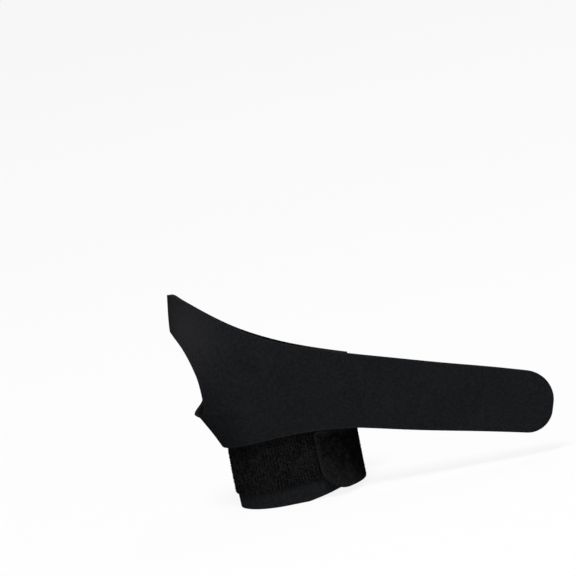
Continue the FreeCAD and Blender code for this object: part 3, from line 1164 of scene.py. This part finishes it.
@dataclass
class HandWrap:
    """Laminate over the palm, the thumb web and the back of the hand, and the strap's first length."""

    finishes: Finishes
    columns: int = 176
    rows: int = 58
    block: tuple[float, float, float, float] = (-0.24, 0.18, 0.215, 0.835)
    rings: int = 6
    support: float = 0.28
    flat: Pair = (0.1992, 0.0781)
    fold: Pair = (1.0, 10.0)
    rounds: int = 70
    tall: float = 70.0
    hole_span: Pair = (42.6, 84.4)
    hole_half: float = 13.0

    def lie(self, q: Array, w: Array, inset: float) -> tuple[Array, Array]:
        """Pattern places of board places.

        Args:
            q: Across, from -1 at the back panel's free edge over 0 at the fold to 1 at the seam.
            w: Up, from 0 at the lower edge to 1 at the upper edge.
            inset: How far the ply stays inside the cut.

        Returns:
            u and height.
        """
        z = OUTLINE.low + self.tall * w
        u = q
        for _ in range(self.rounds):
            s = HAND.section(z)
            palm = s["fold"] * math.pi / 2 + OUTLINE.line_x(SEAM_RUN, z) - s["centre"][:, 0]
            u = np.where(q >= 0, q * palm, q * (s["back"] - inset))
            p = HAND.place(u, z, z * 0)
            low = OUTLINE.bottom(p[:, 0]) + inset
            behind = np.clip(p[:, 1] + HAND.mid, 0, None)
            top = OUTLINE.top(p[:, 0]) - inset - behind * math.tan(HAND.back_drop)
            z = 0.5 * z + 0.5 * (low + w * (top - low))
        return u, z

    def cut(self, inset: float) -> bmesh.types.BMesh:
        """Cut the flat pattern with its thumb hole.

        Args:
            inset: How far the ply stays inside the cut.

        Returns:
            Pattern in millimetres.
        """
        bm = board(self.columns, self.rows)
        left, right, low, high = ((self.block[0] + 1) / 2, (self.block[1] + 1) / 2, *self.block[2:])

        def inside(point: Vector) -> bool:
            """Whether a board place is in the thumb hole's block."""
            return left < point.x < right and low < point.y < high

        gone = [face for face in bm.faces if inside(face.calc_center_median())]
        rim = {edge for face in gone for edge in face.edges}
        bmesh.ops.delete(bm, geom=gone, context="FACES")
        loop = [edge for edge in rim if edge.is_valid and edge.is_boundary]
        ring = bm.verts.layers.float.new("ring")
        for step in range(1, self.rings + 1):
            grown = bmesh.ops.extrude_edge_only(bm, edges=loop)["geom"]
            fresh = {item for item in grown if isinstance(item, bmesh.types.BMVert)}
            for vertex in fresh:
                vertex[ring] = step / self.rings
            loop = [e for e in grown if isinstance(e, bmesh.types.BMEdge) and set(e.verts) <= fresh]
        bm.verts.ensure_lookup_table()
        place = coordinates(bm)
        u, z = self.lie(place[:, 0] * 2 - 1, place[:, 1], inset)
        share = np.array([v[ring] for v in bm.verts])
        rim_u, rim_z = self.hole_rim(u, z, share > 0, inset)
        flat = np.column_stack([u + (rim_u - u) * share, z + (rim_z - z) * share, z * 0])
        put(bm, flat)
        bm.verts.layers.float.remove(bm.verts.layers.float["ring"])
        return bm

    def hole_rim(self, u: Array, z: Array, near: Array, inset: float) -> tuple[Array, Array]:
        """Points of the thumb hole's rim that lie in line with the block's rim.

        Args:
            u: Block places across.
            z: Block heights.
            near: Which of them belong to the block.
            inset: How far the ply stays inside the cut.

        Returns:
            u and height on the rim.
        """
        tall = np.linspace(*self.hole_span, 4000)
        tall = tall[HAND.hole_half(tall) > 0]
        middle, half = (tall[0] + tall[-1]) / 2, (tall[-1] - tall[0]) / 2
        reach = HAND.hole_half(tall)
        reach[[0, -1]] = 0.0
        wide = max(u[near].max(), -u[near].min())
        high = max(z[near].max() - middle, middle - z[near].min())
        heading = np.arctan2((tall - middle) / high, reach / wide)
        toward = np.arctan2((z - middle) / high, abs(u) / wide)
        rim_u, rim_z = np.sign(u) * np.interp(toward, heading, reach), np.interp(toward, heading, tall)
        return rim_u * (1 + inset / self.hole_half), middle + (rim_z - middle) * (1 + inset / half)

    def build(self) -> None:
        """Make the three plies and blend them into the strap."""
        def seam(point: Vector) -> bool:
            """Whether a pattern point is on the line where the strap runs on."""
            spot = HAND.weave(np.array([point.x]), np.array([point.y]))[0]
            return abs(strap_run(spot[0], spot[1]) - SEAM_RUN) < 0.02

        for ply in FACE_PLIES:
            bm = self.cut(ply.inset)
            area = support_rims(bm, self.support, seam)
            thicken(bm, ply, seam)
            piece = laid(bm, HAND, "hand_wrap_" + ply.part)
            dress(piece, *self.finishes.ply(ply.part), "wrap_" + ply.part)
            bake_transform(piece, "root", "strap_root", start=hinge(self.fold[0]), end=hinge(self.fold[1]))


@dataclass
class Strap:
    """Free strap from the seam line to its rounded end."""

    finishes: Finishes
    columns: int = 84
    rows: int = 44
    support: float = 0.28
    flat: Pair = (0.0574, 0.0305)
    fold: Pair = (48.0, 57.0)
    patch_length: float = 22.0
    patch_inset: float = 2.2
    inside: float = -0.86
    base: float = 0.26
    hook_border: float = 1.9
    hook_pitch: float = 1.15

    def cut(self, start: float, inset: float, columns: int, rows: int) -> bmesh.types.BMesh:
        """Cut the strap's end from a run to the tip.

        Args:
            start: Run where it starts.
            inset: How far it stays inside the strap's own cut.
            columns: Faces along it.
            rows: Faces across it.

        Returns:
            Pattern in millimetres.
        """
        wide = OUTLINE.half(start) - inset
        reach = OUTLINE.length - inset
        high, low = OUTLINE.tip[0] - inset, OUTLINE.tip[1] - inset
        over = (reach - high, OUTLINE.half(reach - high / 2) - inset - high)
        under = (reach - low, low + inset - OUTLINE.half(reach - low / 2))
        lower = np.vstack([[(start, -wide)], corner_arc(under, low, -90, -45)])
        upper = np.vstack([[(start, wide)], corner_arc(over, high, 90, 45)])
        last = np.vstack([corner_arc(under, low, -45, 0), corner_arc(over, high, 0, 45)])
        bm = stretch_between(lower, upper, last, columns, rows)
        place = coordinates(bm)
        put(bm, np.column_stack([OUTLINE.along(place[:, 0], place[:, 1]), place[:, 2]]))
        return bm

    def build(self) -> None:
        """Make the plies, the hook patch and its stitching."""
        def seam(point: Vector) -> bool:
            """Whether a pattern point is on the line where the hand wrap ends."""
            return abs(strap_run(point.x, point.y) - SEAM_RUN) < 0.02

        for ply in FACE_PLIES:
            bm = self.cut(SEAM_RUN, ply.inset, self.columns, self.rows)
            area = support_rims(bm, self.support, seam)
            thicken(bm, ply, seam)
            piece = laid(bm, STRAP, "strap_" + ply.part)
            dress(piece, *self.finishes.ply(ply.part), "strap_root_" + ply.part, "strap_end_" + ply.part)
            "hand_wrap_" + ply.part
            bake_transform(piece, "strap_root", "strap_end", start=hinge(self.fold[0]), end=hinge(self.fold[1]))
        self.hook_patch()

    def hook_patch(self) -> None:
        """Make the hook tape sewn to the inside of the strap's end."""
        start = OUTLINE.length - self.patch_inset - self.patch_length
        back = self.inside - self.base
        bm = self.cut(start, self.patch_inset, 40, 36)
        support_rims(bm, 0.25)
        thicken(bm, Ply("base", back, self.inside, 0.0, 0.08))
        tape = laid(bm, STRAP, "strap_hook_tape")
        dress(tape, self.finishes.hook, Slot.HOOK, "strap_hook_patch")
        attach(tape, "strap_end")
        places = []
        last = OUTLINE.length - self.patch_inset - 1.0
        for run in np.arange(start + self.hook_border, last, self.hook_pitch):
            wide = OUTLINE.half(run) - self.patch_inset - self.hook_border
            for index, side in enumerate(np.arange(-wide, wide, self.hook_pitch)):
                if run < OUTLINE.run_end(np.array([side]), self.patch_inset + 1.4)[0]:
                    x, z = OUTLINE.along(run, side)
                    places.append((x, z, back, -OUTLINE.fall + (index % 2) * math.pi))
        crooks = strewn(hook_shape(-0.34), np.array(places), STRAP, "strap_hooks", 5, 0.05, (0.95, 1.0))
        dress(crooks, self.finishes.hook, Slot.HOOK)
        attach(crooks, "strap_end")
        self.stitching(start, back)

    def stitching(self, start: float, back: float) -> None:
        """Sew the hook tape round its edge.

        Args:
            start: Run where the tape starts.
            back: Depth of the tape's outer side.
        """
        inset = self.patch_inset + 0.9
        sides = np.linspace(-1, 1, 2000)
        wide = OUTLINE.half(OUTLINE.length - 8) - inset
        tip = np.column_stack([OUTLINE.run_end(sides * wide, inset), sides * wide])
        rise = np.column_stack([np.full(400, start + 0.9), np.linspace(wide, -wide, 400)])
        path = np.vstack([rise, tip, rise[:1]])
        step = np.concatenate([[0], np.cumsum(np.linalg.norm(np.diff(path, axis=0), axis=1))])
        at = np.arange(0.6, step[-1], 1.9)
        run, side = np.interp(at, step, path[:, 0]), np.interp(at, step, path[:, 1])
        ahead = np.interp(at + 0.2, step, path[:, 0]) - run, np.interp(at + 0.2, step, path[:, 1]) - side
        spot = OUTLINE.along(run, side)
        heading = np.arctan2(ahead[1], ahead[0]) - OUTLINE.fall
        places = np.column_stack([spot, np.full(len(at), back - 0.02), heading])
        seam = strewn(stitch_shape(1.5, 0.24), places, STRAP, "strap_tape_stitches", 8, 0.0, (0.95, 1.05))
        dress(seam, self.finishes.thread, Slot.HOOK)
        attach(seam, "strap_end")


def hook_shape(height: float) -> bmesh.types.BMesh:
    """One crooked hook of hook tape, which stands up or hangs down.

    Args:
        height: Of its crown; below zero it hangs.

    Returns:
        The hook, with its foot at z = 0.
    """
    tall = abs(height)
    bm = bmesh.new()
    bmesh.ops.create_circle(bm, segments=4, radius=0.1, cap_ends=True)
    top = bmesh.ops.extrude_face_region(bm, geom=bm.faces[:])["geom"]
    bmesh.ops.translate(bm, verts=[v for v in top if isinstance(v, bmesh.types.BMVert)],
                        vec=(0, 0, tall * 0.5))
    bmesh.ops.spin(bm, geom=top, cent=(tall * 0.45, 0, tall * 0.5), axis=(0, 1, 0),
                   angle=math.radians(160), steps=3)
    bmesh.ops.scale(bm, verts=bm.verts[:], vec=(1, 1, math.copysign(1, height)))
    bmesh.ops.recalc_face_normals(bm, faces=bm.faces[:])
    return bm


def stitch_shape(length: float, thick: float) -> bmesh.types.BMesh:
    """One stitch of thread, lying along x.

    Args:
        length: Of the stitch.
        thick: Of the thread.

    Returns:
        The stitch.
    """
    bm = bmesh.new()
    bmesh.ops.create_uvsphere(bm, u_segments=8, v_segments=5, radius=0.5)
    bmesh.ops.rotate(bm, verts=bm.verts[:], cent=(0, 0, 0), matrix=Matrix.Rotation(math.pi / 2, 3, "Y"))
    bmesh.ops.scale(bm, verts=bm.verts[:], vec=(length, thick, thick))
    return bm


# ---------------------------------------------------------------- cuff

@dataclass
class Cuff:
    """Oval cuff with a band of loop pile."""

    finishes: Finishes
    height: float = 38.0
    margin: float = 6.2
    askew: float = 2.4
    columns: int = 240
    rows: int = 30
    band_columns: int = 476
    band_rows: int = 44
    rib: float = 1.3
    loops: int = 4300
    askew_from: float = -27.0
    askew_run: float = 32.0
    lump: float = 0.11
    pile_top: float = 29.6
    tab_top: float = 26.6

    def ends(self, point: Vector) -> bool:
        """Whether a pattern point is where the strip's two ends meet."""
        return point.x < 0.005 or point.x > CUFF.around - 0.005

    def band_foot(self, u: Array) -> Array:
        """Height of the loop band's lower edge, which runs slightly askew."""
        x = CUFF.place(u, u * 0, u * 0 + 20.0)[:, 0]
        return self.margin + self.askew * np.clip((x - self.askew_from) / self.askew_run, 0, 1)

    def ring(self, name: str, ply: Ply, low: Optional[Callable[[Array], Array]], columns: int, rows: int,
             ribs: float = 0.0) -> bpy.types.Object:
        """Make one ply of the cuff.

        Args:
            name: Piece name.
            ply: The ply, its bounds as radii.
            low: Gives the heights of its lower edge; without it the ply follows the cuff's rim.
            columns: Faces round.
            rows: Faces up.
            ribs: Depth of its upright ribs.

        Returns:
            The piece.
        """
        bm = board(columns, rows)
        place = coordinates(bm)
        u = place[:, 0] * CUFF.around
        foot = (low or CUFF.rim)(u) + ply.inset
        put(bm, np.column_stack([u, foot + place[:, 1] * (self.height - ply.inset - foot), u * 0]))
        area = support_rims(bm, 0.25, self.ends)
        thicken(bm, ply, self.ends)
        caps = [face for face in bm.faces if all(self.ends(v.co) for v in face.verts)]
        bmesh.ops.delete(bm, geom=caps, context="FACES")
        if ribs:
            flat = coordinates(bm)
            turns = round(CUFF.around / self.rib)
            wave = np.cos(2 * np.pi * (flat[:, 0] / CUFF.around * turns + 0.25 * np.sin(flat[:, 1] / 3.1)))
            lump = (np.sin(flat[:, 0] * 3.1 + np.sin(flat[:, 1] * 1.7) * 2)
                    * np.sin(flat[:, 1] * 3.3 + np.sin(flat[:, 0] * 1.1) * 2))
            outer = flat[:, 2] > ply.outer - 0.01
            flat[outer, 2] -= (ribs * (0.5 - 0.5 * wave) + self.lump * (0.5 + 0.5 * lump))[outer]
            put(bm, flat)
        piece = laid(bm, CUFF, name, weld=True)
        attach(piece, "root")
        return piece

    def build(self) -> None:
        """Make the laminate, the loop band and its loops."""
        for ply in FACE_PLIES:
            wound = replace(ply, inner=CUFF_MID + ply.inner, outer=CUFF_MID + ply.outer)
            piece = self.ring("cuff_" + ply.part + "_ply", wound, None, self.columns, self.rows)
            dress(piece, *self.finishes.ply(ply.part), "cuff_" + ply.part)
        band = Ply("band", 19.6, BAND_OUTER, 0.0, 0.2)
        piece = self.ring("cuff_loop_band", band, self.band_foot, self.band_columns, self.band_rows, 0.1)
        dress(piece, self.finishes.band, Slot.LOOP, "cuff_loop_panel")
        self.pile()

    def pile(self) -> None:
        """Stand small loops on the band's ribs."""
        rng = np.random.default_rng(21)
        turns = round(CUFF.around / self.rib)
        row = rng.integers(0, turns, self.loops)
        u = (row + rng.normal(0, 0.16, self.loops)) / turns * CUFF.around % CUFF.around
        foot = self.band_foot(u) + 0.25
        z = foot + rng.uniform(0, 1, self.loops) * (self.pile_top - foot)
        x = CUFF.place(u, z, u * 0 + BAND_OUTER)
        covered = (x[:, 0] > 7.5) & (x[:, 1] < 16.5)
        keep = (z < OUTLINE.bottom(x[:, 0]) - 0.3) | (x[:, 1] > 0) & (z < self.tab_top)
        depth = np.where(covered, 20.33, 20.42)
        heading = rng.normal(math.pi / 2, 0.6, self.loops)
        places = np.column_stack([u, z, depth, heading])[keep]
        loops = strewn(curl(0.62, 0.27, 0.13, 5), places, CUFF, "cuff_pile_loops", 22, 0.35)
        dress(loops, self.finishes.band, Slot.LOOP)
        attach(loops, "root")


# ---------------------------------------------------------------- closure tab

@dataclass
class ClosureTab:
    """Padded tab with a pile outside and hook tape under its free end."""

    finishes: Finishes
    bottom: float = 2.5
    top: float = 26.6
    tip: float = 9.4
    lower: float = 11.0
    upper: float = 1.6
    under_wrap: float = 0.45
    sewn: float = -33.4
    hook_inset: float = 2.2
    hook_start: float = 2.43
    inside: float = -0.91
    base: float = 0.24
    rise_from: float = 24.0
    rise_run: float = 6.0
    flat: Pair = (0.0470, 0.0267)
    columns: int = 104
    rows: int = 46
    loops: int = 3000

    def cut(self, start: float, inset: float, columns: int, rows: int) -> bmesh.types.BMesh:
        """Cut the tab from a place to its rounded end.

        Args:
            start: Where it starts.
            inset: How far it stays inside the tab's own cut.
            columns: Faces along it.
            rows: Faces up.

        Returns:
            Pattern in millimetres.
        """
        low, high = self.bottom + inset, self.top - inset
        left, small, large = self.tip + inset, max(self.upper - inset, 0.4), self.lower - inset
        x = np.linspace(self.rise_from, left + small, 30)
        below = OUTLINE.bottom(x) - self.under_wrap - inset
        edge = high + (below - high) * np.clip((self.rise_from - x) / self.rise_run, 0, 1)
        under, over = (left + large, low + large), (left + small, edge[-1] - small)

        def wrapped(path: Array) -> Array:
            """A front-view path as a path on the pattern."""
            return np.column_stack([TAB.reach(path[:, 0]), path[:, 1]])

        lower = np.vstack([[(start, low)], wrapped(corner_arc(under, large, 270, 225))])
        upper = np.vstack([wrapped(np.column_stack([x, edge])), wrapped(corner_arc(over, small, 90, 135))])
        upper = np.vstack([[(start, high)], upper[upper[:, 0] > start]])
        last = wrapped(np.vstack([corner_arc(under, large, 225, 180), corner_arc(over, small, 180, 135)]))
        return stretch_between(lower, upper, last, columns, rows)

    def edge_x(self, z: Array, inset: float) -> Array:
        """Front-view x of the free end at given heights."""
        low, high = self.bottom + inset, self.top - inset
        x = np.full_like(z, self.tip + inset)
        for radius, into in ((self.lower - inset, low + self.lower - inset - z),
                             (self.upper - inset, z - (high - self.upper + inset))):
            into = np.clip(into, 0, radius)
            x += radius - np.sqrt(radius ** 2 - into ** 2)
        return x

    def build(self) -> None:
        """Make the plies, the pile, the hook tape and the sewing."""
        plies = ((Ply("lining", -0.88, -0.58, 0.05, 0.08), self.finishes.lining, Slot.LINING),
                 (Ply("foam", -0.55, 0.15, 0.2, 0.0), self.finishes.foam, Slot.FOAM),
                 (Ply("face", 0.18, 0.88, 0.0, 0.3), self.finishes.tab, Slot.TAB))
        for ply, finish, slot in plies:
            bm = self.cut(self.sewn + ply.inset, ply.inset, self.columns, self.rows)
            area = support_rims(bm, 0.3, fade=2.0)
            thicken(bm, ply)
            piece = laid(bm, TAB, "tab_" + ply.part)
            dress(piece, finish, slot, "tab_root_" + ply.part, "tab_end_" + ply.part)
            self.hang(piece)
        self.pile()
        self.hook_tape()
        self.sewing()

    def hang(self, piece: bpy.types.Object) -> None:
        """Blend a piece of the tab across its fold."""
        foot = TAB.place(np.array([0.0]), np.array([0.0]), np.array([0.0]))[0] * MM
        away = Vector((math.sin(TAB.fold), -math.cos(TAB.fold), 0)) * 0.006
        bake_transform(piece, "root", "tab", start=tuple(foot), end=tuple(Vector(foot) + away))

    def pile(self) -> None:
        """Stand short loops on the tab's outside."""
        rng = np.random.default_rng(31)
        z = rng.uniform(self.bottom + 0.3, self.top - 0.3, self.loops)
        u = rng.uniform(self.sewn + 0.3, 14.6, self.loops)
        keep = u < TAB.reach(self.edge_x(z, 0.3))
        places = np.column_stack([u, z, u * 0 + 0.8, rng.uniform(0, 2 * math.pi, self.loops)])[keep]
        loops = strewn(curl(0.5, 0.24, 0.1, 5), places, TAB, "tab_pile_loops", 32, 0.5)
        dress(loops, self.finishes.tab, Slot.TAB)
        self.hang(loops)

    def hook_tape(self) -> None:
        """Make the hook tape under the free end."""
        back = self.inside - self.base
        bm = self.cut(self.hook_start, self.hook_inset, 30, 34)
        support_rims(bm, 0.2)
        thicken(bm, Ply("base", back, self.inside, 0.0, 0.06))
        tape = laid(bm, TAB, "tab_hook_tape")
        dress(tape, self.finishes.hook, Slot.HOOK, "tab_hook_patch")
        self.hang(tape)
        places = [(u, z, back, (row % 2) * math.pi)
                  for row, z in enumerate(np.arange(self.bottom + 3.4, self.top - 3.0, 1.1))
                  for u in np.arange(self.hook_start + 1.0, 14.0, 1.1)
                  if u < TAB.reach(self.edge_x(np.array([z]), self.hook_inset + 1.0))[0]]
        crooks = strewn(hook_shape(-0.3), np.array(places), TAB, "tab_hooks", 33, 0.05, (0.95, 1.0))
        dress(crooks, self.finishes.hook, Slot.HOOK)
        self.hang(crooks)

    def sewing(self) -> None:
        """Sew the tab's fixed end down with two rows of zigzag."""
        places = []
        for row, u in enumerate((self.sewn + 1.6, self.sewn + 4.4)):
            for index, z in enumerate(np.arange(self.bottom + 1.4, self.top - 1.2, 0.95)):
                places.append((u, z, 0.93, math.pi / 2 + math.radians(38) * (-1) ** (index + row)))
        seam = strewn(stitch_shape(1.35, 0.26), np.array(places), TAB, "tab_stitches", 34, 0.0, (0.97, 1.03))
        dress(seam, self.finishes.thread, Slot.TAB)
        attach(seam, "root")


# ---------------------------------------------------------------- studio

@dataclass
class Studio:
    """Pale floor, soft lamps and the camera."""

    elevation: float = 10.0
    roll: float = 11.5
    look_at: Point = (0.0111, -0.021, 0.0941)
    distance: float = 2.5
    frame_width: float = 0.2477
    sensor: float = 36.0
    floor_half: float = 12.0
    world: float = 0.27
    lamps: tuple[tuple[str, Point, float, float], ...] = (
        ("key", (-0.2, -1.0, 2.2), 0.7, 54.0),
        ("fill", (-0.2, -2.1, 0.8), 1.4, 15.5),
        ("crown", (0.6, 0.9, 1.6), 1.0, 6.0))

    def build(self) -> None:
        """Make the floor, world, lamps and camera."""
        scene = bpy.context.scene
        scene.view_settings.view_transform = "Standard"
        bm = bmesh.new()
        bmesh.ops.create_grid(bm, x_segments=12, y_segments=12, size=self.floor_half)
        mesh = bpy.data.meshes.new("floor")
        bm.to_mesh(mesh)
        bm.free()
        floor = bpy.data.objects.new("floor", mesh)
        mesh.materials.append(PaleFloor().make())
        scene.collection.objects.link(floor)
        world = bpy.data.worlds.new("studio")
        scene.world = world
        world.use_nodes = True
        sky = world.node_tree.nodes["Background"]
        sky.inputs[0].default_value = (1, 1, 1, 1)
        sky.inputs[1].default_value = self.world
        for name, place, size, power in self.lamps:
            lamp = bpy.data.lights.new(name, "AREA")
            lamp.size, lamp.energy = size, power
            stand = bpy.data.objects.new(name, lamp)
            stand.location = place
            aim = Vector(self.look_at) - Vector(place)
            stand.rotation_euler = aim.to_track_quat("-Z", "Y").to_euler()
            scene.collection.objects.link(stand)
        self.camera(scene)

    def camera(self, scene: bpy.types.Scene) -> None:
        """Stand the camera before the palm, a little above it and tipped over."""
        lens = bpy.data.cameras.new("camera")
        lens.lens = self.sensor * self.distance / self.frame_width
        lens.sensor_width = self.sensor
        lens.clip_end = 40.0
        tilt = math.radians(self.elevation)
        body = bpy.data.objects.new("camera", lens)
        back = Vector((0, -math.cos(tilt), math.sin(tilt)))
        body.location = Vector(self.look_at) + back * self.distance
        roll = Matrix.Rotation(math.radians(-self.roll), 3, "Z")
        turn = (-back).to_track_quat("-Z", "Y").to_matrix() @ roll
        body.rotation_euler = turn.to_euler()
        scene.collection.objects.link(body)
        scene.camera = body


def main() -> None:
    """Build the brace and the studio."""
    logging.basicConfig(level=logging.INFO, format="%(name)s %(message)s")
    finishes = Finishes()
    for part in (Cuff(finishes), ClosureTab(finishes), HandWrap(finishes), Strap(finishes)):
        LOG.info("building %s", type(part).__name__)
        part.build()
    Studio().build()


if __name__ == "__main__":
    main()
